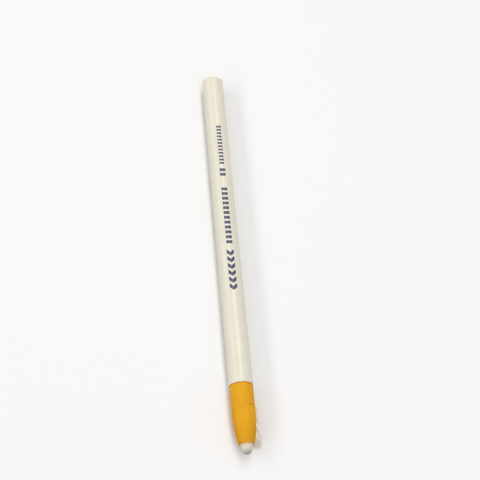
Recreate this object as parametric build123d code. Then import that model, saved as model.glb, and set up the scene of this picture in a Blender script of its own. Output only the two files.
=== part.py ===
from build123d import *
import math
import os

# A peel-off china marker: a wax lead in a casing of wound paper that comes off strip by strip.
# It lies along X with its writing end at +X. The origin is on the surface under its middle.

# Lengths along the marker, in millimetres, from the writing end back
bare_lead_length = 3.6
tip_strip_length = 14.9
bare_strip_length = 8.5
peel_strip_length = 9.5
peel_strip_count = 16

# Lead
lead_diameter = 5.1
lead_point_diameter = 2.8
lead_point_rounding = 1.2

# Paper casing: the wound plies, and the white ply that covers them
paper_wall = 2.0
paper_plies = 6
cover_thickness = 0.15
grinding_depth = 0.02
tip_straight_length = 2.6
tip_edge_thickness = 0.27

# Pull string
string_diameter = 1.0
string_bend_radius = 1.0
string_end_recess = 0.3
tail_floor_gap = 0.1

# Clearances
winding_clearance = 0.08
ply_gap = 0.04
glue_gap = 0.02
score_gap = 0.02
string_clearance = 0.06

# Radii, from the lead outwards
lead_radius = lead_diameter / 2
string_radius = string_diameter / 2
bore_radius = lead_radius + winding_clearance
paper_radius = bore_radius + paper_wall
bare_radius = paper_radius - grinding_depth
cover_bore_radius = paper_radius + glue_gap
barrel_radius = cover_bore_radius + cover_thickness
tip_edge_radius = bore_radius + tip_edge_thickness
ply_pitch = (paper_wall + ply_gap) / paper_plies

# The string lies flush in a bed that the winding pressed into the soft lead
string_offset = lead_radius - string_radius
string_hole_radius = string_radius + string_clearance

# Stations along X
covered_length = peel_strip_count * peel_strip_length
total_length = covered_length + bare_strip_length + tip_strip_length + bare_lead_length
lead_front = total_length / 2
paper_front = lead_front - bare_lead_length
string_exit = paper_front - tip_strip_length
cover_front = string_exit - bare_strip_length
rear_end = -total_length / 2

# Points of the string's free tail, from its exit to its frayed end: how far it has gone towards
# the writing end, how far it has bowed out from the barrel, and its share of the drop to the surface
tail_points = [
    (0.0, 0.0, 0.0),
    (3.6, 0.08, 0.07),
    (7.6, 0.13, 0.28),
    (11.8, -0.2, 0.62),
    (15.7, -0.87, 1.0),
]
tail_arc_share = 0.45
tail_offset = bare_radius + string_clearance + string_radius
tail_drop = barrel_radius - string_radius - tail_floor_gap


def rod(radius, start, end):
    """A round bar on the marker's axis."""
    return Pos((start + end) / 2, 0, 0) * Cylinder(radius, end - start, rotation=(0, 90, 0))


def tube(outer_radius, inner_radius, start, end):
    """A length of round casing on the marker's axis."""
    past = end - start
    return rod(outer_radius, start, end) - rod(inner_radius, start - past, end + past)


def turned(outline):
    """A solid turned about the marker's axis from an outline in X and radius."""
    return revolve(make_face(outline), axis=Axis.X)


def swept(path, radius):
    """A round strand of one radius along a path."""
    return sweep(Plane(path @ 0, z_dir=path % 0) * Circle(radius), path=path)


def winding_gap(start, end):
    """The hairline between the plies of a strip: a spiral of half turns about two centres.

    It opens into the bore where the paper starts, and stops one ply under the outside.
    """
    ply_thickness = ply_pitch - ply_gap
    shift = ply_pitch / 4
    first_radius = bore_radius + ply_thickness + shift
    half_turns = 2 * (paper_plies - 2)
    edges = []
    for index in range(half_turns):
        centre = shift if index % 2 == 0 else -shift
        start_angle = 180 if index % 2 == 0 else 0
        radius = first_radius + index * ply_pitch / 2
        edges.append(CenterArc((centre, 0), radius, start_angle, 180))
        edges.append(CenterArc((centre, 0), radius + ply_gap, start_angle, 180))
    edges.append(Line(edges[0] @ 0, edges[1] @ 0))
    edges.append(Line(edges[-3] @ 1, edges[-2] @ 1))
    paper_start = Pos(shift - first_radius, 0) * Rectangle(
        ply_pitch + ply_gap, ply_gap, align=(Align.MIN, Align.MAX)
    )
    past = end - start
    profile = Plane.YZ.offset(start - past) * (make_face(edges) + paper_start)
    return extrude(profile, amount=3 * past)


def string_path(start, end_offset):
    """The buried string's centre line: along the lead, then straight out through the casing."""
    bend_start = Vector(string_exit - string_bend_radius, string_offset)
    bend_end = Vector(string_exit, string_offset + string_bend_radius)
    return Wire(
        [
            Edge.make_line(Vector(start, string_offset), bend_start),
            Edge.make_tangent_arc(bend_start, Vector(1, 0), bend_end),
            Edge.make_line(bend_end, Vector(string_exit, end_offset)),
        ]
    )


def string_hole():
    """The way that the string takes out through the casing."""
    past = string_diameter
    bend_start = string_exit - string_bend_radius
    return swept(string_path(bend_start - past, paper_radius + past), string_hole_radius)


def wax_lead():
    """The extruded lead, drawn to a blunt point ahead of the paper, with the string's bed along it."""
    corners = [
        (rear_end, 0),
        (rear_end, lead_radius),
        (paper_front, lead_radius),
        (lead_front, lead_point_diameter / 2),
        (lead_front, 0),
    ]
    lead = turned(Polyline(*corners, close=True))
    point_edge = lead.edges().filter_by(GeomType.CIRCLE).sort_by(Axis.X)[-1]
    lead = fillet(point_edge, lead_point_rounding)
    bed_length = total_length + 2 * string_diameter
    bed = Cylinder(string_hole_radius, bed_length, rotation=(0, 90, 0))
    bed_mouth = Box(
        bed_length, string_diameter, 2 * string_hole_radius, align=(Align.CENTER, Align.MIN, Align.CENTER)
    )
    return lead - Pos(0, string_offset, 0) * (bed + bed_mouth)


def peel_strip(front):
    """One covered strip of wound paper."""
    start = front - peel_strip_length
    end = front - score_gap
    return tube(paper_radius, bore_radius, start, end) - winding_gap(start, end)


def white_cover(front):
    """The coated outer ply on one strip, scored through where the strip ends."""
    return tube(barrel_radius, cover_bore_radius, front - peel_strip_length, front - score_gap)


def bare_strip():
    """The strip with its cover ground away. The string leaves the casing at its front edge."""
    end = string_exit - score_gap
    return tube(bare_radius, bore_radius, cover_front, end) - winding_gap(cover_front, end) - string_hole()


def tip_strip():
    """The front strip, ground to an ogive that runs out through the plies."""
    taper_start = string_exit + tip_straight_length
    outline = [
        Line((string_exit, bore_radius), (string_exit, bare_radius)),
        Line((string_exit, bare_radius), (taper_start, bare_radius)),
        TangentArc((taper_start, bare_radius), (paper_front, tip_edge_radius), tangent=(1, 0)),
        Line((paper_front, tip_edge_radius), (paper_front, bore_radius)),
        Line((paper_front, bore_radius), (string_exit, bore_radius)),
    ]
    return turned(outline) - winding_gap(string_exit, paper_front) - string_hole()


def pull_string():
    """The buried string, from the rear end to the casing's surface at its exit."""
    return swept(string_path(rear_end + string_end_recess, bare_radius), string_radius)


def string_tail():
    """The free end of the string, from a round knuckle at the exit down to the surface."""
    points = [
        Vector(string_exit + ahead, tail_offset + bow, -drop * tail_drop) for ahead, bow, drop in tail_points
    ]
    runs = [end - start for start, end in zip(points, points[1:])]
    radii = []
    for before, after in zip(runs, runs[1:]):
        half_turn = math.radians(before.get_angle(after)) / 2
        radii.append(tail_arc_share * min(before.length, after.length) / math.tan(half_turn))
    path = FilletPolyline(*points, radius=radii)
    tail = swept(path, string_radius)
    section = math.pi * string_radius**2
    print("tail radii", [round(radius, 1) for radius in radii])
    print("tail length", round(path.length, 2), "volume share", round(tail.volume / (section * path.length), 4))
    return tail + Pos(*points[0]) * Sphere(string_radius)


pieces = {
    "wax_lead": wax_lead(),
    "tip_strip": tip_strip(),
    "bare_strip": bare_strip(),
    "pull_string": pull_string(),
    "string_tail": string_tail(),
}
for index in range(peel_strip_count):
    strip_front = cover_front - index * peel_strip_length
    pieces[f"peel_strip_{index + 1:02d}"] = peel_strip(strip_front)
    pieces[f"white_cover_{index + 1:02d}"] = white_cover(strip_front)

os.makedirs("parts", exist_ok=True)
for name, piece in pieces.items():
    export_step(Pos(0, 0, barrel_radius) * piece, f"parts/{name}.step")
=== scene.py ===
import math
from collections import namedtuple

import bmesh
import bpy
from mathutils import Matrix, Vector, geometry, noise


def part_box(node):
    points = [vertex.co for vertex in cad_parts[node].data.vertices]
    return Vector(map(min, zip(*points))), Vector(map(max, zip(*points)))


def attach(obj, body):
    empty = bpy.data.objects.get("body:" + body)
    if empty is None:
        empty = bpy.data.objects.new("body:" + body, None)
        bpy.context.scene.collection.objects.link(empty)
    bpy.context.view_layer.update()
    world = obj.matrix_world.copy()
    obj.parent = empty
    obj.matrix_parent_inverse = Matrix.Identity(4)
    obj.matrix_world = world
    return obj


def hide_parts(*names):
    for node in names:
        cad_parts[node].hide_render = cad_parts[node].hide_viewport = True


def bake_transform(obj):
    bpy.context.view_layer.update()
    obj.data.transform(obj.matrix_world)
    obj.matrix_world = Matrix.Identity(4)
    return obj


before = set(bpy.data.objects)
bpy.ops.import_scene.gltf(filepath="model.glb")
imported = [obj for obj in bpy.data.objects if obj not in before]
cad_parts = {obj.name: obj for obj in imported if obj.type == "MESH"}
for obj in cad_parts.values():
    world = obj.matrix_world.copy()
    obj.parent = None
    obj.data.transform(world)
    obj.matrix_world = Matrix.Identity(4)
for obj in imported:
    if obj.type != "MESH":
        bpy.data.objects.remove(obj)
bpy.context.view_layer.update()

# Wax lead. A rod of white pigmented wax, extruded through a die and cut square at the back. The string's
# bed is pressed along its +Y side. The bare end ahead of the paper is rubbed round by use, and its bed shut.
MM = 0.001
lead_low, lead_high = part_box("wax_lead")
tip_low, tip_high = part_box("tip_strip")
axis_height = (lead_low.z + lead_high.z) / 2
lead_radius = (lead_high.z - lead_low.z) / 2
rear_end = lead_low.x
lead_front = lead_high.x
paper_front = tip_high.x
string_radius = 0.5 * MM
bed_radius = string_radius + 0.06 * MM
bed_offset = lead_radius - string_radius
bed_run_out = 2.0 * MM
nose_end_radius = 1.4 * MM
nose_round_length = 1.7 * MM
nose_bluntness = 0.78
nose_pole_radius = 0.03 * MM
dent_depth = 0.16 * MM
dent_size = 1.5 * MM
scratch_depth = 0.03 * MM
scratch_size = 0.4 * MM
noise_seed = 1
rod_sides = 120
shaft_rings = 60
cone_rings = 16
round_rings = 26


def linear(hex_colour):
    """An sRGB hex colour as linear red, green, blue and alpha."""
    channels = [int(hex_colour[i : i + 2], 16) / 255 for i in (0, 2, 4)]
    return [c / 12.92 if c <= 0.04045 else ((c + 0.055) / 1.055) ** 2.4 for c in channels] + [1]


def add(tree, kind, inputs, output=0, **settings):
    """Adds one node with its settings and links, and returns an output. Inputs go by their identifiers."""
    node = tree.nodes.new("ShaderNode" + kind)
    for name, value in settings.items():
        setattr(node, name, value)
    sockets = {socket.identifier: socket for socket in node.inputs}
    for name, value in inputs.items():
        if isinstance(value, bpy.types.NodeSocket):
            tree.links.new(value, sockets[name])
        else:
            sockets[name].default_value = value
    return node.outputs[output]


def new_material(name):
    """A new material: itself, its node tree, its shader's inputs and the object's coordinates."""
    material = bpy.data.materials.new(name)
    material.use_nodes = True
    tree = material.node_tree
    shader = tree.nodes["Principled BSDF"]
    return material, tree, shader.inputs, add(tree, "TexCoord", {}, "Object")


def new_piece(name, bm, material, sharp_degrees=40, weld_distance=0.0005 * MM):
    """Closes a bmesh and makes it an object at the origin, smooth but for its sharp edges."""
    bmesh.ops.remove_doubles(bm, verts=bm.verts, dist=weld_distance)
    bmesh.ops.recalc_face_normals(bm, faces=bm.faces)
    mesh = bpy.data.meshes.new(name)
    bm.to_mesh(mesh)
    bm.free()
    mesh.materials.append(material)
    mesh.shade_smooth()
    mesh.set_sharp_from_angle(angle=math.radians(sharp_degrees))
    piece = bpy.data.objects.new(name, mesh)
    bpy.context.collection.objects.link(piece)
    return piece


# White wax: dense and a little see-through. A warm reflection of the orange paper is painted onto it where it
# leaves the paper, and shade is painted on in grey blotches towards the front of the nose
wax_white = linear("F6EEE0")
wax_cream = linear("E8DCCB")
painted_paper_bounce = linear("F0CF8E")
painted_nose_shade = linear("8B7F75")
cloud_size = 1.6 * MM
die_line_width = 0.22 * MM
die_line_stretch = 0.03
paper_bounce_reach = 1.1 * MM
paper_bounce_share = 0.55
nose_shade_size = 0.7 * MM
nose_shaded_from = lead_front - 2.4 * MM
nose_shaded_to = lead_front - 0.2 * MM
wax_relief = 0.03 * MM
mixed_colour = 2  # which of a Mix node's outputs is its colour

wax, tree, shader, place = new_material("white_wax")
clouds = add(tree, "TexNoise", {"Vector": place, "Scale": 1 / cloud_size, "Detail": 4}, "Fac")
drawn_out = add(tree, "Mapping", {"Vector": place, "Scale": (die_line_stretch, 1, 1)})
die_lines = add(tree, "TexNoise", {"Vector": drawn_out, "Scale": 1 / die_line_width, "Detail": 2}, "Fac")
colour = add(
    tree, "Mix", {"Factor_Float": clouds, "A_Color": wax_white, "B_Color": wax_cream},
    mixed_colour, data_type="RGBA",
)
along = add(tree, "SeparateXYZ", {"Vector": place}, "X")
# Painted reflection: the orange paper's warm bounce light, painted onto the wax within a short reach of its
# edge
paper_bounce = add(tree, "Math", {"Value": along, "Value_001": paper_front}, operation="SUBTRACT")
paper_bounce = add(tree, "Math", {"Value": paper_bounce}, operation="ABSOLUTE")
paper_bounce = add(tree, "MapRange", {"Value": paper_bounce, "From Max": paper_bounce_reach, "To Min": paper_bounce_share, "To Max": 0})
colour = add(
    tree, "Mix", {"Factor_Float": paper_bounce, "A_Color": colour, "B_Color": painted_paper_bounce},
    mixed_colour, data_type="RGBA",
)
# Painted shade: grey blotches, growing towards the front of the nose, stand in for its shaded underside
nose_shaded = add(
    tree, "MapRange", {"Value": along, "From Min": nose_shaded_from, "From Max": nose_shaded_to},
    interpolation_type="SMOOTHSTEP",
)
nose_shade = add(tree, "TexNoise", {"Vector": place, "Scale": 1 / nose_shade_size, "Detail": 5, "Roughness": 0.7}, "Fac")
nose_shade = add(
    tree, "MapRange", {"Value": nose_shade, "From Min": 0.4, "From Max": 0.62, "To Min": 0.35, "To Max": 0.8},
)
nose_shade = add(tree, "Math", {"Value": nose_shade, "Value_001": nose_shaded}, operation="MULTIPLY")
colour = add(
    tree, "Mix", {"Factor_Float": nose_shade, "A_Color": colour, "B_Color": painted_nose_shade},
    mixed_colour, data_type="RGBA",
)
tree.links.new(colour, shader["Base Color"])
roughness = add(tree, "MapRange", {"Value": clouds, "To Min": 0.38, "To Max": 0.6})
tree.links.new(roughness, shader["Roughness"])
relief = add(tree, "Math", {"Value": clouds, "Value_001": die_lines}, operation="ADD")
bump = add(tree, "Bump", {"Strength": 0.5, "Distance": wax_relief, "Height": relief})
tree.links.new(bump, shader["Normal"])
shader["Subsurface Weight"].default_value = 0.2
shader["Subsurface Radius"].default_value = (1.0, 0.9, 0.8)
shader["Subsurface Scale"].default_value = 0.5 * MM
shader["IOR"].default_value = 1.44


def press_bed(face, radius, shut):
    """Presses the string's bed into a round section of the rod, or rubs it shut by a share."""
    for vert in face.verts:
        side = (vert.co.z - axis_height) * lead_radius / radius
        if vert.co.y > 0 and abs(side) < bed_radius:
            floor = bed_offset - math.sqrt(bed_radius**2 - side**2)
            rim = math.sqrt(lead_radius**2 - side**2)
            vert.co.y = (floor + shut * (rim - floor)) * radius / lead_radius


# The rod's sections, each a place along X and a radius: the shaft, the cone and the rounded point
cone_length = lead_front - paper_front
cone_slope = (lead_radius - nose_end_radius) / cone_length
round_start = lead_front - nose_round_length
shaft_step = (paper_front - rear_end) / shaft_rings
sections = [(rear_end + shaft_step * i, lead_radius) for i in range(1, shaft_rings + 1)]
cone_step = (round_start - paper_front) / cone_rings
for i in range(1, cone_rings):
    x = paper_front + cone_step * i
    sections.append((x, nose_end_radius + cone_slope * (lead_front - x)))
round_from = Vector((round_start, nose_end_radius + cone_slope * nose_round_length))
round_to = Vector((lead_front, nose_pole_radius))
round_corner = Vector((lead_front, nose_end_radius))
sections += geometry.interpolate_bezier(
    round_from, round_from.lerp(round_corner, nose_bluntness),
    round_to.lerp(round_corner, nose_bluntness), round_to, round_rings,
)

bm = bmesh.new()
rear_face_place = Matrix.Translation((rear_end, 0, axis_height)) @ Matrix.Rotation(math.radians(90), 4, "Y")
bmesh.ops.create_circle(bm, cap_ends=True, radius=lead_radius, segments=rod_sides, matrix=rear_face_place)
front_face = next(iter(bm.faces))
press_bed(front_face, lead_radius, 0)
front_x = rear_end
front_radius = lead_radius
about_axis = Matrix.Translation((0, 0, -axis_height))
for x, radius in sections:
    grown = bmesh.ops.extrude_face_region(bm, geom=[front_face])["geom"]
    front_face = next(item for item in grown if isinstance(item, bmesh.types.BMFace))
    share = radius / front_radius
    bmesh.ops.scale(bm, vec=(1, share, share), space=about_axis, verts=front_face.verts)
    bmesh.ops.translate(bm, verts=front_face.verts, vec=(x - front_x, 0, 0))
    press_bed(front_face, radius, min(max((x - paper_front) / bed_run_out, 0), 1))
    front_x = x
    front_radius = radius
noise.seed_set(noise_seed)
for vert in bm.verts:
    worn = min(max((vert.co.x - paper_front) / cone_length, 0), 1)
    dent = dent_depth * noise.noise_vector(vert.co / dent_size)
    dent += scratch_depth * noise.noise_vector(vert.co / scratch_size)
    dent.x = min(dent.x, 0)
    vert.co += worn * dent
lead = new_piece("lead_rod", bm, wax)
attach(lead, "lead")
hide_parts("wax_lead")

# Pull string. Three-strand cotton twine, laid in the lead's bed under the paper and cut off at the rear end.
# It turns out through the casing at the front score, and its free end, frayed by pulling, lies along the tip
# down to the table.
bare_low, bare_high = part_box("bare_strip")
bare_radius = (bare_high.z - bare_low.z) / 2
string_exit = tip_low.x
tail_start = bare_radius + bed_radius
strands = 3
strand_radius = string_radius / (1 + 1 / math.sin(math.pi / strands))
strand_offset = string_radius - strand_radius
strand_lay = 4.2 * MM
strand_step = 0.4 * MM
yarns_per_strand = 18
yarn_radius = 0.075 * MM
yarn_lay = 2.6 * MM
yarn_step = 0.14 * MM
yarn_clearance = 1.5 * yarn_radius
golden_angle = math.pi * (3 - math.sqrt(5))
cut_end_length = 1.6 * MM
cut_raggedness = 0.5 * MM

# Where the string turns out, whole strands end and separate yarns begin this far from the axis, in the paper
strand_end = bare_radius - 0.6 * MM
yarn_start = bare_radius - 1.2 * MM

# The frayed end: how far back it starts, its width, how fast it opens and how much of its lay it loses. The
# shares of the width are how far the strands part, their yarns spread and lift, and each yarn wanders.
fray_length = 14.5 * MM
fray_width = 1.6 * MM
fray_raggedness = 2.4 * MM
fray_growth = 1.3
lay_lost = 0.8
strand_parting = 0.62
yarn_spread = 0.45
yarn_lift = 0.3
yarn_wander = 0.3
wander_length = 4 * MM

# Steps through the noise from strand to strand and yarn to yarn, and how the ragged ends' noise differs
strand_noise_step = 7.3
yarn_noise_step = 3.1
ragged_noise_scale = 1.7
ragged_noise_shift = Vector((0.21, 0.4, 0.9))

# Cotton twine: soft undyed fibres with no shine, paler in patches along the fibres, fuzzy against the light.
# The fibres are drawn about three times as thick as they are, so that they show.
cotton_cream = linear("FAF2E0")
cotton_white = linear("FFFDF6")
cotton_fibre_width = 0.06 * MM
cotton_fibre_stretch = 0.12
toning_size = 1.2 * MM
cotton_relief = 0.015 * MM

cotton, tree, shader, place = new_material("undyed_cotton_twine")
drawn_out = add(tree, "Mapping", {"Vector": place, "Scale": (cotton_fibre_stretch, 1, 1)})
fibres = add(tree, "TexNoise", {"Vector": drawn_out, "Scale": 1 / cotton_fibre_width, "Detail": 3}, "Fac")
toning = add(tree, "TexNoise", {"Vector": place, "Scale": 1 / toning_size, "Detail": 3}, "Fac")
toning = add(tree, "Math", {"Value": toning, "Value_001": fibres}, operation="MULTIPLY")
toning = add(tree, "MapRange", {"Value": toning, "From Min": 0.12, "From Max": 0.4})
colour = add(
    tree, "Mix", {"Factor_Float": toning, "A_Color": cotton_cream, "B_Color": cotton_white},
    mixed_colour, data_type="RGBA",
)
tree.links.new(colour, shader["Base Color"])
bump = add(tree, "Bump", {"Strength": 0.5, "Distance": cotton_relief, "Height": fibres})
tree.links.new(bump, shader["Normal"])
shader["Roughness"].default_value = 0.92
shader["Specular IOR Level"].default_value = 0.25
shader["Sheen Weight"].default_value = 0.4

# The route's points, in metres from the marker's axis: the bed, the turn out, the turn forward and the tail
route_points = [
    (rear_end + 0.3 * MM, bed_offset, 0),
    (string_exit - 8 * MM, bed_offset, 0),
    (string_exit - 2 * MM, bed_offset, 0),
    (string_exit, bed_offset, 0),
    (string_exit, bed_offset + 2 * MM, 0),
    (string_exit, tail_start, 0),
    (string_exit + 1.6 * MM, tail_start, -0.05 * MM),
    (string_exit + 3.6 * MM, tail_start - 0.02 * MM, -0.25 * MM),
    (string_exit + 7.6 * MM, tail_start - 0.15 * MM, -0.95 * MM),
    (string_exit + 11.8 * MM, tail_start - 0.5 * MM, -2.3 * MM),
    (string_exit + 15.0 * MM, tail_start - 0.85 * MM, -3.8 * MM),
]
route = bpy.data.curves.new("string_route", "CURVE")
route.dimensions = "3D"
spline = route.splines.new("NURBS")
spline.points.add(len(route_points) - 1)
for point, (x, y, z) in zip(spline.points, route_points):
    point.co = (x, y, z + axis_height, 1)
spline.order_u = 3
spline.use_endpoint_u = True
spline.resolution_u = 24

# The outside of the ground paper ahead of the white cover, which the tail lies against
straight_length = 2.6 * MM
edge_radius = lead_radius + 0.35 * MM
taper_start = string_exit + straight_length
taper_length = paper_front - taper_start
taper_drop = bare_radius - edge_radius
taper_arc = (taper_length**2 + taper_drop**2) / (2 * taper_drop)


def casing_radius(x):
    """The ground paper's radius: straight behind, then a long arc down to the edge round the lead."""
    past = max(x - taper_start, 0)
    return bare_radius - taper_arc + math.sqrt(taper_arc**2 - past**2)


def radius_at(point):
    """A point's distance from the marker's axis."""
    return math.hypot(point.y, point.z - axis_height)


def outward(point):
    """The direction from the marker's axis out to a point."""
    return Vector((0, point.y, point.z - axis_height)).normalized()


def curve_mesh(curve):
    """The mesh of a curve, with the curve's object removed."""
    holder = bpy.data.objects.new(curve.name, curve)
    bpy.context.collection.objects.link(holder)
    evaluated = holder.evaluated_get(bpy.context.evaluated_depsgraph_get())
    mesh = bpy.data.meshes.new_from_object(evaluated)
    bpy.data.objects.remove(holder)
    return mesh


Stop = namedtuple("Stop", "centre ahead travelled")


def stops_along(points, step):
    """Stops a step apart along a line, each with its place, its direction and its distance from the start."""
    found = []
    travelled = 0.0
    due = 0.0
    for start, end in zip(points, points[1:]):
        length = (end - start).length
        while length > 0 and due <= travelled + length:
            centre = start.lerp(end, (due - travelled) / length)
            found.append(Stop(centre, (end - start).normalized(), due))
            due += step
        travelled += length
    return found


route_line = [vert.co.copy() for vert in curve_mesh(route).vertices]
strand_stops = [stop for stop in stops_along(route_line, strand_step) if stop.centre.y < strand_end]
strand_stops = [stop for stop in strand_stops if stop.travelled > cut_end_length / 2]
yarn_stops = stops_along(route_line, yarn_step)
cut_stops = [stop for stop in yarn_stops if stop.travelled < cut_end_length]
free_stops = [stop for stop in yarn_stops if stop.centre.y > yarn_start]
string_length = free_stops[-1].travelled
fray_start = string_length - fray_length


def strand_shift(strand, travelled):
    """How far a strand's middle lies from the string's, to the side and upwards."""
    turn = 2 * math.pi * (travelled / strand_lay + strand / strands)
    return strand_offset * Vector((math.cos(turn), math.sin(turn)))


def noise_place(strand, yarn):
    """A yarn's own place in the noise."""
    return Vector((strand_noise_step * strand, yarn_noise_step * yarn, 0))


def yarn_shift(strand, yarn, travelled):
    """How far a yarn lies from the string's middle: twisted into its strand, and fanned out as it frays."""
    from_middle = math.sqrt((yarn + 0.5) / yarns_per_strand)
    around = yarn * golden_angle
    twist = around - 2 * math.pi * travelled / yarn_lay
    laid = from_middle * (strand_radius - yarn_radius) * Vector((math.cos(twist), math.sin(twist)))
    laid += strand_shift(strand, travelled)
    fanned = from_middle * Vector((yarn_spread * math.cos(around), yarn_lift * math.sin(around)))
    fanned.x += strand_parting * (strand - 1)
    wander_place = noise_place(strand, yarn) + Vector((0, 0, travelled / wander_length))
    fanned += yarn_wander * noise.noise_vector(wander_place).xy
    loose = max(0, (travelled - fray_start) / fray_length) ** fray_growth
    return (1 - lay_lost * loose) * laid + loose * fray_width * fanned


def beside(stop, shift):
    """The spot at a shift, to the side and upwards, from a stop on the string's line."""
    across = stop.ahead.cross(Vector((0, 0, 1))).normalized()
    return stop.centre + shift.x * across + shift.y * across.cross(stop.ahead)


def clear_of_casing(spot):
    """A yarn's spot, moved out where it would sink into the casing or the table."""
    clear_radius = casing_radius(spot.x) + yarn_clearance
    if spot.x > string_exit + bed_radius and radius_at(spot) < clear_radius:
        spot = spot + (clear_radius - radius_at(spot)) * outward(spot)
    return Vector((spot.x, spot.y, max(spot.z, yarn_radius)))


twine = bpy.data.curves.new("twine", "CURVE")
twine.dimensions = "3D"
twine.bevel_depth = yarn_radius
twine.bevel_resolution = 1
twine.use_fill_caps = True


def add_yarn(spots, radius):
    """Adds one yarn, or one whole strand, to the twine along a line of spots."""
    path = twine.splines.new("POLY")
    path.points.add(len(spots) - 1)
    for point, spot in zip(path.points, spots):
        point.co = (*spot, 1)
        point.radius = radius / yarn_radius


# Whole strands where the paper hides them, and their yarns at the cut end and where the string is free
for strand in range(strands):
    spots = [beside(stop, strand_shift(strand, stop.travelled)) for stop in strand_stops]
    add_yarn(spots, strand_radius)
    for yarn in range(yarns_per_strand):
        ragged_place = ragged_noise_scale * noise_place(strand, yarn) + ragged_noise_shift
        ragged = abs(noise.noise(ragged_place))
        cut_yarn = [stop for stop in cut_stops if stop.travelled > cut_raggedness * ragged]
        free_yarn = [stop for stop in free_stops if stop.travelled < string_length - fray_raggedness * ragged]
        for stops in (cut_yarn, free_yarn):
            spots = [beside(stop, yarn_shift(strand, yarn, stop.travelled)) for stop in stops]
            add_yarn([clear_of_casing(spot) for spot in spots], yarn_radius)
twine_mesh = curve_mesh(twine)
twine_mesh.name = "cotton_string"
twine_mesh.materials.clear()
twine_mesh.materials.append(cotton)
twine_mesh.shade_smooth()
string = bpy.data.objects.new("cotton_string", twine_mesh)
bpy.context.collection.objects.link(string)
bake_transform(string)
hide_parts("pull_string", "string_tail")

# Covered strips. Orange paper wound six turns round the lead and glued, then scored through into short
# lengths that peel off one by one. The white ply hides all but their cut ends.
strip_low, strip_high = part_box("peel_strip_01")
paper_radius = (strip_high.z - strip_low.z) / 2
bore_radius = lead_radius + 0.08 * MM
paper_plies = 6
ply_gap = 0.04 * MM
ply_pitch = (paper_radius - bore_radius + ply_gap) / paper_plies
first_gap_radius = bore_radius + ply_pitch - ply_gap
glue_line_turns = paper_plies - 2.5  # the glue lines stop under the outer ply
cover_front = bare_low.x
strip_count = sum(name.startswith("peel_strip_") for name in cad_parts)

# Wound orange paper: matt and fibrous, each ply a band on a cut end, with a brown glue line between plies and
# fine rings where the wheel ground it. Shade is painted on, darker towards the tip, and a painted shadow line
# runs along the white cover's edge. Its fibres are drawn several times as coarse as they are, so that they
# show.
orange_deep = linear("E7A41C")
orange_bright = linear("F0B122")
orange_fleck = linear("F3BE4A")
painted_tip_shade_orange = linear("D9971A")
glue_brown = linear("A8681A")
painted_edge_shadow = linear("7C5220")
glue_wander_size = 0.9 * MM
glue_wander = 0.08
glue_share = 0.1
paper_fibre_width = 0.28 * MM
paper_fibre_stretch = 0.35
blotch_size = 2.4 * MM
grind_ring_width = 0.3 * MM
grind_ring_stretch = 0.06
tip_shade_share = 0.6
edge_shadow_start = cover_front - 0.42 * MM
edge_shadow_waver = 0.5 * MM
edge_shadow_width = 0.25 * MM
edge_shadow_share = 0.6
edge_shadow_limit = cover_front - 0.5 * MM
glue_line_sink = -0.35
paper_relief = 0.03 * MM

paper, tree, shader, place = new_material("wound_orange_paper")
centred = add(tree, "VectorMath", {"Vector": place, "Vector_001": (0, 0, -axis_height)})
axes = add(tree, "SeparateXYZ", {"Vector": centred}).node.outputs
flat = add(tree, "VectorMath", {"Vector": centred, "Vector_001": (0, 1, 1)}, operation="MULTIPLY")
radius = add(tree, "VectorMath", {"Vector": flat}, "Value", operation="LENGTH")
turns = add(
    tree, "Math",
    {"Value": radius, "Value_001": 1 / ply_pitch, "Value_002": -first_gap_radius / ply_pitch},
    operation="MULTIPLY_ADD",
)
angle = add(tree, "Math", {"Value": axes["Z"], "Value_001": axes["Y"]}, operation="ARCTAN2")
angle = add(
    tree, "Math", {"Value": angle, "Value_001": 1 / (2 * math.pi), "Value_002": 0.5},
    operation="MULTIPLY_ADD",
)
turns = add(tree, "Math", {"Value": turns, "Value_001": angle}, operation="SUBTRACT")
wander = add(tree, "TexNoise", {"Vector": place, "Scale": 1 / glue_wander_size, "Detail": 3}, "Fac")
turns = add(
    tree, "Math", {"Value": wander, "Value_001": glue_wander, "Value_002": turns}, operation="MULTIPLY_ADD",
)
glued = add(tree, "Math", {"Value": turns, "Value_001": glue_line_turns}, operation="LESS_THAN")
turns = add(tree, "Math", {"Value": turns}, operation="FRACT")
glue_line = add(
    tree, "MapRange", {"Value": turns, "From Min": 0.06, "From Max": 0.18, "To Min": 1, "To Max": 0},
    interpolation_type="SMOOTHSTEP",
)
glue_line = add(tree, "Math", {"Value": glue_line, "Value_001": glued}, operation="MULTIPLY")
drawn_out = add(tree, "Mapping", {"Vector": place, "Scale": (paper_fibre_stretch, 1, 1)})
fibres = add(
    tree, "TexNoise",
    {"Vector": drawn_out, "Scale": 1 / paper_fibre_width, "Detail": 5, "Roughness": 0.65},
    "Fac",
)
blotches = add(tree, "TexNoise", {"Vector": drawn_out, "Scale": 1 / blotch_size, "Detail": 3}, "Fac")
drawn_round = add(tree, "Mapping", {"Vector": place, "Scale": (1, grind_ring_stretch, grind_ring_stretch)})
grind_rings = add(
    tree, "TexNoise", {"Vector": drawn_round, "Scale": 1 / grind_ring_width, "Detail": 3}, "Fac",
)
tone = add(tree, "MapRange", {"Value": blotches, "From Min": 0.35, "From Max": 0.65})
colour = add(
    tree, "Mix", {"Factor_Float": tone, "A_Color": orange_deep, "B_Color": orange_bright},
    mixed_colour, data_type="RGBA",
)
fleck = add(tree, "MapRange", {"Value": fibres, "From Min": 0.56, "From Max": 0.75, "To Max": 0.4})
colour = add(
    tree, "Mix", {"Factor_Float": fleck, "A_Color": colour, "B_Color": orange_fleck},
    mixed_colour, data_type="RGBA",
)
glue = add(tree, "Math", {"Value": glue_line, "Value_001": glue_share}, operation="MULTIPLY")
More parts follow.
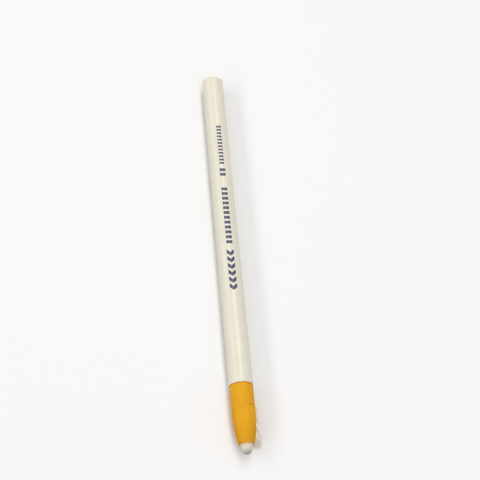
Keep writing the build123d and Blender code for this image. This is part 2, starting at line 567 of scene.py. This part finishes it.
colour = add(
    tree, "Mix", {"Factor_Float": glue, "A_Color": colour, "B_Color": glue_brown},
    mixed_colour, data_type="RGBA",
)
# Painted shade: the taper is darkened more and more towards the tip
tip_shade = add(
    tree, "MapRange",
    {"Value": axes["X"], "From Min": string_exit, "From Max": paper_front, "To Max": tip_shade_share},
    interpolation_type="SMOOTHSTEP",
)
colour = add(
    tree, "Mix", {"Factor_Float": tip_shade, "A_Color": colour, "B_Color": painted_tip_shade_orange},
    mixed_colour, data_type="RGBA",
)
# Painted shadow: a wavering dark brown line just ahead of the white cover's edge, where its step throws shade
edge_shadow = add(
    tree, "Math", {"Value": fibres, "Value_001": edge_shadow_waver, "Value_002": edge_shadow_start},
    operation="MULTIPLY_ADD",
)
edge_shadow = add(tree, "Math", {"Value": axes["X"], "Value_001": edge_shadow}, operation="SUBTRACT")
edge_shadow = add(
    tree, "MapRange",
    {"Value": edge_shadow, "From Min": 0, "From Max": edge_shadow_width, "To Min": edge_shadow_share, "To Max": 0},
    interpolation_type="SMOOTHSTEP",
)
beyond_cover = add(tree, "Math", {"Value": axes["X"], "Value_001": edge_shadow_limit}, operation="GREATER_THAN")
edge_shadow = add(tree, "Math", {"Value": edge_shadow, "Value_001": beyond_cover}, operation="MULTIPLY")
colour = add(
    tree, "Mix", {"Factor_Float": edge_shadow, "A_Color": colour, "B_Color": painted_edge_shadow},
    mixed_colour, data_type="RGBA",
)
tree.links.new(colour, shader["Base Color"])
roughness = add(tree, "MapRange", {"Value": fibres, "To Min": 0.66, "To Max": 0.95})
tree.links.new(roughness, shader["Roughness"])
relief = add(tree, "Math", {"Value": fibres, "Value_001": grind_rings}, operation="ADD")
relief = add(
    tree, "Math", {"Value": glue_line, "Value_001": glue_line_sink, "Value_002": relief},
    operation="MULTIPLY_ADD",
)
bump = add(tree, "Bump", {"Strength": 0.55, "Distance": paper_relief, "Height": relief})
tree.links.new(bump, shader["Normal"])
shader["Specular IOR Level"].default_value = 0.22

for index in range(strip_count):
    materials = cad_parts[f"peel_strip_{index + 1:02d}"].data.materials
    materials.clear()
    materials.append(paper)

# Bare strip. The same wound paper just behind the string's exit, with its white ply ground away. Its front
# edge is scored through and notched where the string comes out, with short cuts of the knife beside it.
hole_radius = bed_radius
bare_front = bare_high.x
outer_wall_least = 1.05 * bore_radius
ground_sides = 240
bare_cuts = 75
ply_lift = 0.015 * MM
lift_middle = 0.12
lift_patch_size = 1.3 * MM
lift_mean = 0.6
lift_swing = 0.9
grain_width = 0.35 * MM
grain_length = 4 * MM
grain_share = 0.35

# Each cut of the knife: its place along X, its first and last angle from the top, and its depth. Beside a cut
# stands a low lip, whose place and width are in the cut's half widths.
knife_cuts = [
    (string_exit - 1.6 * MM, math.radians(32), math.radians(95), 0.16 * MM),
    (string_exit, math.radians(24), math.radians(115), 0.34 * MM),
    (string_exit + 1.9 * MM, math.radians(-30), math.radians(30), 0.14 * MM),
]
knife_half_width = 0.2 * MM
knife_fade = math.radians(12)
lip_height = 0.05 * MM
lip_place = 1.8
lip_width = 0.8


def spun_casing(rear, front, inner_radius, outer_radius, cuts, sides, rounding=0):
    """A round casing with a fine outer wall: its section's corners, rounded or not, spun round the axis."""
    bm = bmesh.new()
    corners = [(rear, inner_radius), (front, inner_radius), (front, outer_radius), (rear, outer_radius)]
    verts = [bm.verts.new((x, 0, axis_height + radius)) for x, radius in corners]
    for i in range(len(verts)):
        bm.edges.new((verts[i], verts[i - 1]))
    if rounding:
        bmesh.ops.bevel(
            bm, geom=verts[2:], affect="VERTICES", offset=rounding, segments=2, profile=0.5, material=-1,
        )
    # Of the section's two long edges, the one farther out
    outer_edge = max(bm.edges, key=lambda edge: edge.calc_length() + edge.verts[0].co.z + edge.verts[1].co.z)
    bmesh.ops.subdivide_edges(bm, edges=[outer_edge], cuts=cuts)
    bmesh.ops.spin(
        bm, geom=bm.verts[:] + bm.edges[:], cent=(0, 0, axis_height), axis=(1, 0, 0),
        angle=2 * math.pi, steps=sides, use_merge=True,
    )
    return bm


def set_radius(vert, radius):
    """Moves a vertex to a distance from the marker's axis."""
    vert.co = Vector((vert.co.x, 0, axis_height)) + radius * outward(vert.co)


def spiral_turns(point):
    """Turns of paper between a point and the winding's first gap, at one ply thickness outside the bore."""
    angle = math.atan2(point.z - axis_height, point.y) / (2 * math.pi) + 0.5
    return (radius_at(point) - first_gap_radius) / ply_pitch - angle


def ground_relief(point):
    """How far the ground paper stands up at a point: plies lift a little along the glue lines, unevenly."""
    turns = spiral_turns(point)
    lift = max(0, 1 - abs(turns % 1 - lift_middle) / lift_middle) if turns < glue_line_turns else 0
    uneven = lift_mean + lift_swing * noise.noise(point / lift_patch_size)
    grain = noise.noise(Vector((point.x / grain_width, point.y / grain_length, point.z / grain_length)))
    return ply_lift * (lift * uneven + grain_share * grain)


def knife_marks(point):
    """How far the paper stands up beside a cut of the knife, or is cut in, as a negative height."""
    angle = math.atan2(point.y, point.z - axis_height)
    change = 0
    for station, first, last, depth in knife_cuts:
        within = min(max(min(angle - first, last - angle) / knife_fade, 0), 1)
        away = abs(point.x - station) / knife_half_width
        change -= within * depth * max(0, 1 - away)
        change += within * lip_height * max(0, 1 - abs(away - lip_place) / lip_width)
    return change


bm = spun_casing(bare_low.x, bare_front, bore_radius, bare_radius, bare_cuts, ground_sides)
for vert in bm.verts:
    if radius_at(vert.co) > outer_wall_least:
        # Sunk by the lift, to keep the ridges near the ground radius
        set_radius(vert, radius_at(vert.co) + ground_relief(vert.co) + knife_marks(vert.co) - ply_lift)
    side = vert.co.z - axis_height
    if vert.co.y > 0 and abs(side) < hole_radius:
        vert.co.x = min(vert.co.x, string_exit - math.sqrt(hole_radius**2 - side**2))
bare = new_piece("bare_paper", bm, paper)
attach(bare, "bare_strip")
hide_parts("bare_strip")

# Tip strip. The first strip to peel: wound paper ground to a long rounded taper that runs out through all
# its plies, so each shows as a feathered line, down to a thin ragged edge round the lead.
tip_cuts = 120
ragged_reach = 1.2 * MM
ragged_depth = 0.22 * MM
ragged_mean = 0.5
ragged_lobes = 5


def noise_round(point, lobes, along=0):
    """Noise that goes round the barrel in lobes, and changes along it only by the value given."""
    out = outward(point)
    return noise.noise(Vector((lobes * out.y, lobes * out.z, along)))


bm = spun_casing(string_exit, paper_front, bore_radius, bare_radius, tip_cuts, ground_sides)
for vert in bm.verts:
    if radius_at(vert.co) > outer_wall_least:
        set_radius(vert, casing_radius(vert.co.x) + ground_relief(vert.co) + knife_marks(vert.co))
    side = vert.co.z - axis_height
    if vert.co.y > 0 and abs(side) < hole_radius:
        vert.co.x = max(vert.co.x, string_exit + math.sqrt(hole_radius**2 - side**2))
    ragged = max(0, 1 - (paper_front - vert.co.x) / ragged_reach)
    vert.co.x -= ragged * ragged_depth * (ragged_mean + noise_round(vert.co, ragged_lobes))
tip = new_piece("tip_paper", bm, paper)
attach(tip, "tip_strip")
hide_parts("tip_strip")

# White covers. One turn of coated white paper glued over the winding, lapped underneath and scored
# through with each strip. The front one is ground to a thin edge where the bare paper begins.
cover_low, cover_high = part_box("white_cover_01")
barrel_radius = (cover_high.z - cover_low.z) / 2
cover_bore = paper_radius + 0.02 * MM
cover_wall_least = cover_bore + 0.05 * MM
cover_sides = 200
cover_cuts = 14
edge_rounding = 0.015 * MM
wrinkle_depth = 0.016 * MM
wrinkle_mean = 0.5
crease_share = 0.6
crease_lobes = 7
crease_length = 30 * MM
swell_share = 0.5
swell_lobes = 2.5
swell_length = 50 * MM
swell_noise_shift = 9
lap_step = 0.035 * MM
lap_angle = math.radians(215)
lap_ease = math.radians(30)
feather_length = 0.7 * MM
feather_depth = 0.06 * MM
ground_back = 0.34 * MM
edge_waver = 0.14 * MM
edge_lobes = 9

# Coated paper: cream white with a satin clay coat, faint lengthwise streaks, a fine paper tooth, and plain
# indigo bars printed along the top, a little smeared at their edges. The tooth is drawn coarser than it is,
# so that it shows.
coat_cream = linear("E7E1CB")
coat_white = linear("EDE7D3")
indigo_ink = linear("1C1758")
streak_width = 0.9 * MM
streak_stretch = 0.04
tooth_size = 0.3 * MM
smear_size = 0.18 * MM
smear_reach = 0.12 * MM
ink_cover = 0.97
print_angle = math.radians(8)
coat_relief = 0.012 * MM

# Each row of print: its start from the rear end, its count of bars, half their height round the barrel, their
# pitch and width along it, and their lean, which bends them into chevrons
print_rows = [
    (28.6 * MM, 12, 1.05 * MM, 1.81 * MM, 1.05 * MM, 0),
    (51.9 * MM, 2, 1.25 * MM, 2.43 * MM, 1.5 * MM, 0),
    (62.0 * MM, 12, 1.3 * MM, 2.41 * MM, 1.5 * MM, 0),
    (94.2 * MM, 6, 1.55 * MM, 3.19 * MM, 1.9 * MM, -0.9),
]

coated, tree, shader, place = new_material("coated_white_paper")
centred = add(tree, "VectorMath", {"Vector": place, "Vector_001": (0, 0, -axis_height)})
axes = add(tree, "SeparateXYZ", {"Vector": centred}).node.outputs
drawn_out = add(tree, "Mapping", {"Vector": place, "Scale": (streak_stretch, 1, 1)})
streaks = add(tree, "TexNoise", {"Vector": drawn_out, "Scale": 1 / streak_width, "Detail": 4}, "Fac")
toning = add(tree, "MapRange", {"Value": streaks, "From Min": 0.35, "From Max": 0.65})
colour = add(
    tree, "Mix", {"Factor_Float": toning, "A_Color": coat_cream, "B_Color": coat_white},
    mixed_colour, data_type="RGBA",
)
tooth = add(tree, "TexNoise", {"Vector": place, "Scale": 1 / tooth_size, "Detail": 4}, "Fac")
smear = add(tree, "TexNoise", {"Vector": place, "Scale": 1 / smear_size, "Detail": 3}, "Fac")
smear = add(tree, "Math", {"Value": smear, "Value_001": 0.5}, operation="SUBTRACT")
arc = add(tree, "Math", {"Value": axes["Y"], "Value_001": axes["Z"]}, operation="ARCTAN2")
arc = add(tree, "Math", {"Value": arc, "Value_001": barrel_radius}, operation="MULTIPLY")
arc = add(
    tree, "Math", {"Value": smear, "Value_001": smear_reach, "Value_002": arc}, operation="MULTIPLY_ADD",
)
run = add(tree, "Math", {"Value": axes["X"], "Value_001": rear_end}, operation="SUBTRACT")
run = add(
    tree, "Math", {"Value": smear, "Value_001": smear_reach, "Value_002": run}, operation="MULTIPLY_ADD",
)
print_centre = print_angle * barrel_radius
from_centre = add(tree, "Math", {"Value": arc, "Value_001": print_centre}, operation="SUBTRACT")
from_centre = add(tree, "Math", {"Value": from_centre}, operation="ABSOLUTE")
ink = 0.0
for row_start, bar_count, half_height, bar_pitch, bar_width, lean in print_rows:
    bar = add(
        tree, "Math", {"Value": from_centre, "Value_001": -lean, "Value_002": run}, operation="MULTIPLY_ADD",
    )
    bar = add(
        tree, "Math", {"Value": bar, "Value_001": 1 / bar_pitch, "Value_002": -row_start / bar_pitch},
        operation="MULTIPLY_ADD",
    )
    half_row = bar_count / 2
    row = add(tree, "Math", {"Value": bar, "Value_001": half_row, "Value_002": half_row}, operation="COMPARE")
    half_bar = bar_width / bar_pitch / 2
    bar = add(tree, "Math", {"Value": bar}, operation="FRACT")
    bar = add(tree, "Math", {"Value": bar, "Value_001": half_bar, "Value_002": half_bar}, operation="COMPARE")
    band = add(tree, "Math", {"Value": from_centre, "Value_001": half_height}, operation="LESS_THAN")
    bar = add(tree, "Math", {"Value": bar, "Value_001": row}, operation="MULTIPLY")
    ink = add(tree, "Math", {"Value": bar, "Value_001": band, "Value_002": ink}, operation="MULTIPLY_ADD")
ink = add(tree, "Math", {"Value": ink, "Value_001": ink_cover}, operation="MULTIPLY")
colour = add(
    tree, "Mix", {"Factor_Float": ink, "A_Color": colour, "B_Color": indigo_ink},
    mixed_colour, data_type="RGBA",
)
tree.links.new(colour, shader["Base Color"])
roughness = add(tree, "MapRange", {"Value": streaks, "To Min": 0.4, "To Max": 0.6})
tree.links.new(roughness, shader["Roughness"])
relief = add(tree, "Math", {"Value": streaks, "Value_001": 0.5, "Value_002": tooth}, operation="MULTIPLY_ADD")
bump = add(tree, "Bump", {"Strength": 0.35, "Distance": coat_relief, "Height": relief})
tree.links.new(bump, shader["Normal"])
shader["Coat Weight"].default_value = 0.6
shader["Coat Roughness"].default_value = 0.16


def lengthwise_wrinkle(point):
    """The white ply's change of radius at a point: shallow creases, drawn in along the barrel."""
    crease = noise_round(point, crease_lobes, point.x / crease_length)
    swell = noise_round(point, swell_lobes, point.x / swell_length + swell_noise_shift)
    return -wrinkle_depth * (wrinkle_mean + crease_share * crease + swell_share * swell)


def lap(point):
    """The step where the white ply's outer edge laps its inner one, easing off round the barrel."""
    angle = (math.atan2(point.z - axis_height, point.y) - lap_angle) % (2 * math.pi)
    return lap_step * max(0, 1 - angle / lap_ease)


for index in range(strip_count):
    number = f"{index + 1:02d}"
    low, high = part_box(f"white_cover_{number}")
    bm = spun_casing(low.x, high.x, cover_bore, barrel_radius, cover_cuts, cover_sides, edge_rounding)
    for vert in bm.verts:
        feather = max(0, 1 - (cover_front - vert.co.x) / feather_length)
        if radius_at(vert.co) > cover_wall_least:
            change = lengthwise_wrinkle(vert.co) + lap(vert.co) - lap_step - feather * feather_depth
            set_radius(vert, radius_at(vert.co) + change)
        vert.co.x -= feather * (ground_back + edge_waver * noise_round(vert.co, edge_lobes))
    cover = new_piece(f"cover_{number}", bm, coated)
    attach(cover, "lead" if index == strip_count - 1 else f"strip_{number}")
    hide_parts(f"white_cover_{number}")

# Stage. A plain pale tabletop under two long softboxes, one almost overhead and one at the side, in an even
# white surround, seen from above the writing end as in the photograph.
table_size = 40.0
white = linear("FFFFFF")

# Matt white tabletop: almost white, faintly speckled and without gloss. It throws back less light than the
# camera and reflections see, and they see it whiter away from the marker.
speckle_size = 0.5 * MM
table_grey = linear("F9F8F8")
table_white = linear("FCFBFB")
table_bounce = linear("C4C2C0")
whiter_from = 0.22
whiter_to = 1.2
whiter_by = 0.41


def seen_directly(tree):
    """1 for rays from the camera, off gloss or through clear material, and 0 for those that gather light."""
    rays = add(tree, "LightPath", {}).node.outputs
    seen = add(
        tree, "Math", {"Value": rays["Is Camera Ray"], "Value_001": rays["Is Glossy Ray"]},
        operation="MAXIMUM",
    )
    return add(tree, "Math", {"Value": seen, "Value_001": rays["Is Transmission Ray"]}, operation="MAXIMUM")


tabletop, tree, shader, place = new_material("matt_white_tabletop")
speckle = add(tree, "TexNoise", {"Vector": place, "Scale": 1 / speckle_size, "Detail": 2}, "Fac")
colour = add(
    tree, "Mix", {"Factor_Float": speckle, "A_Color": table_grey, "B_Color": table_white},
    mixed_colour, data_type="RGBA",
)
seen = seen_directly(tree)
colour = add(
    tree, "Mix", {"Factor_Float": seen, "A_Color": table_bounce, "B_Color": colour},
    mixed_colour, data_type="RGBA",
)
tree.links.new(colour, shader["Base Color"])
whiter = add(tree, "VectorMath", {"Vector": place}, "Value", operation="LENGTH")
whiter = add(
    tree, "MapRange", {"Value": whiter, "From Min": whiter_from, "From Max": whiter_to, "To Max": whiter_by},
    interpolation_type="SMOOTHSTEP",
)
whiter = add(tree, "Math", {"Value": whiter, "Value_001": seen}, operation="MULTIPLY")
tree.links.new(whiter, shader["Emission Strength"])
shader["Emission Color"].default_value = white
shader["Roughness"].default_value = 0.9
shader["Specular IOR Level"].default_value = 0.1
bm = bmesh.new()
bmesh.ops.create_grid(bm, x_segments=1, y_segments=1, size=table_size)
floor = new_piece("tabletop", bm, tabletop)

surround_light = 0.49
surround_seen = 0.86
world = bpy.data.worlds.new("white_surround")
bpy.context.scene.world = world
world.use_nodes = True
tree = world.node_tree
background = tree.nodes["Background"].inputs
background["Color"].default_value = white
strength = add(
    tree, "MapRange", {"Value": seen_directly(tree), "To Min": surround_light, "To Max": surround_seen},
)
tree.links.new(strength, background["Strength"])

# Each softbox: its name, its place, its length and width in metres, and its power in watts
softboxes = [
    ("overhead_softbox", (-0.1, 0.17, 0.75), 1.7, 0.18, 3.72),
    ("side_softbox", (-0.1, -0.62, 0.5), 1.7, 0.16, 2.1),
]
for name, lamp_place, length, width, power in softboxes:
    lamp = bpy.data.lights.new(name, "AREA")
    lamp.shape = "RECTANGLE"
    lamp.size = length
    lamp.size_y = width
    lamp.energy = power
    softbox = bpy.data.objects.new(name, lamp)
    softbox.location = lamp_place
    softbox.rotation_euler.x = math.atan2(-lamp_place[1], lamp_place[2])
    bpy.context.collection.objects.link(softbox)

# The camera, placed from the lead's tip, which lies this far to its right, below its line of sight and ahead
camera_elevation = math.radians(59.7)
camera_heading = math.radians(174.95)
view_width_px = 480
focal_px = 946
tip_right = 2.81 * MM
tip_below = 80.29 * MM
tip_ahead = 354.6 * MM
heading = Vector((math.cos(camera_heading), math.sin(camera_heading), 0))
right = heading.cross(Vector((0, 0, 1)))
ahead = math.cos(camera_elevation) * heading - math.sin(camera_elevation) * Vector((0, 0, 1))
upward = right.cross(ahead)
lead_tip = Vector((lead_front, 0, axis_height))
camera_place = lead_tip - tip_right * right + tip_below * upward - tip_ahead * ahead
camera_turn = Matrix((right, upward, -ahead)).transposed().to_4x4()
camera_data = bpy.data.cameras.new("camera")
camera_data.sensor_width = 36
camera_data.lens = camera_data.sensor_width * focal_px / view_width_px
camera = bpy.data.objects.new("camera", camera_data)
camera.matrix_world = Matrix.Translation(camera_place) @ camera_turn
bpy.context.collection.objects.link(camera)
bpy.context.scene.camera = camera
bpy.context.scene.view_settings.view_transform = "Standard"
